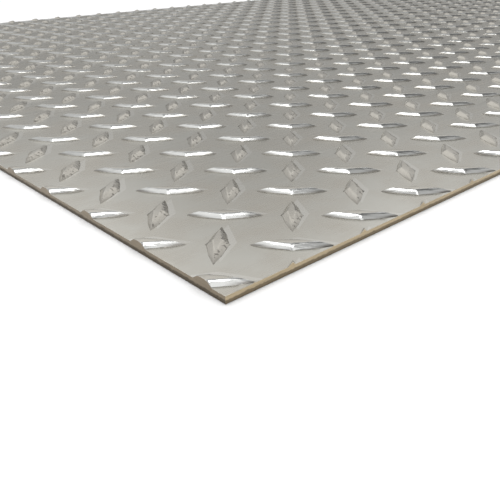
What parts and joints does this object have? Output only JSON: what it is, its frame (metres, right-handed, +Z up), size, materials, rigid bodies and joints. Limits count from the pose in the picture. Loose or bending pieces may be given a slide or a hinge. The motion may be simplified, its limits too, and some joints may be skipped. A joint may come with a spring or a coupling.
{
  "type": "aluminium checker plate",
  "caption": "Flat rectangular aluminium checker plate: a thin rolled sheet with crossing raised lozenge lugs on its upper face and square sheared edges, for floors, steps and cladding.",
  "frame": {"origin": "middle of the underside, where the sheet rests on the floor", "axes": "+X along the long side, +Y along the short side, +Z up through the sheet to the lugs"},
  "size_m": [1.2192, 0.9144, 0.0052],
  "materials": {
    "rolled_aluminium": "bright rolled mill finish, satin, with plain sheared edges"
  },
  "bodies": {
    "root": {"checker_plate": "rolled_aluminium"}
  },
  "joints": []
}
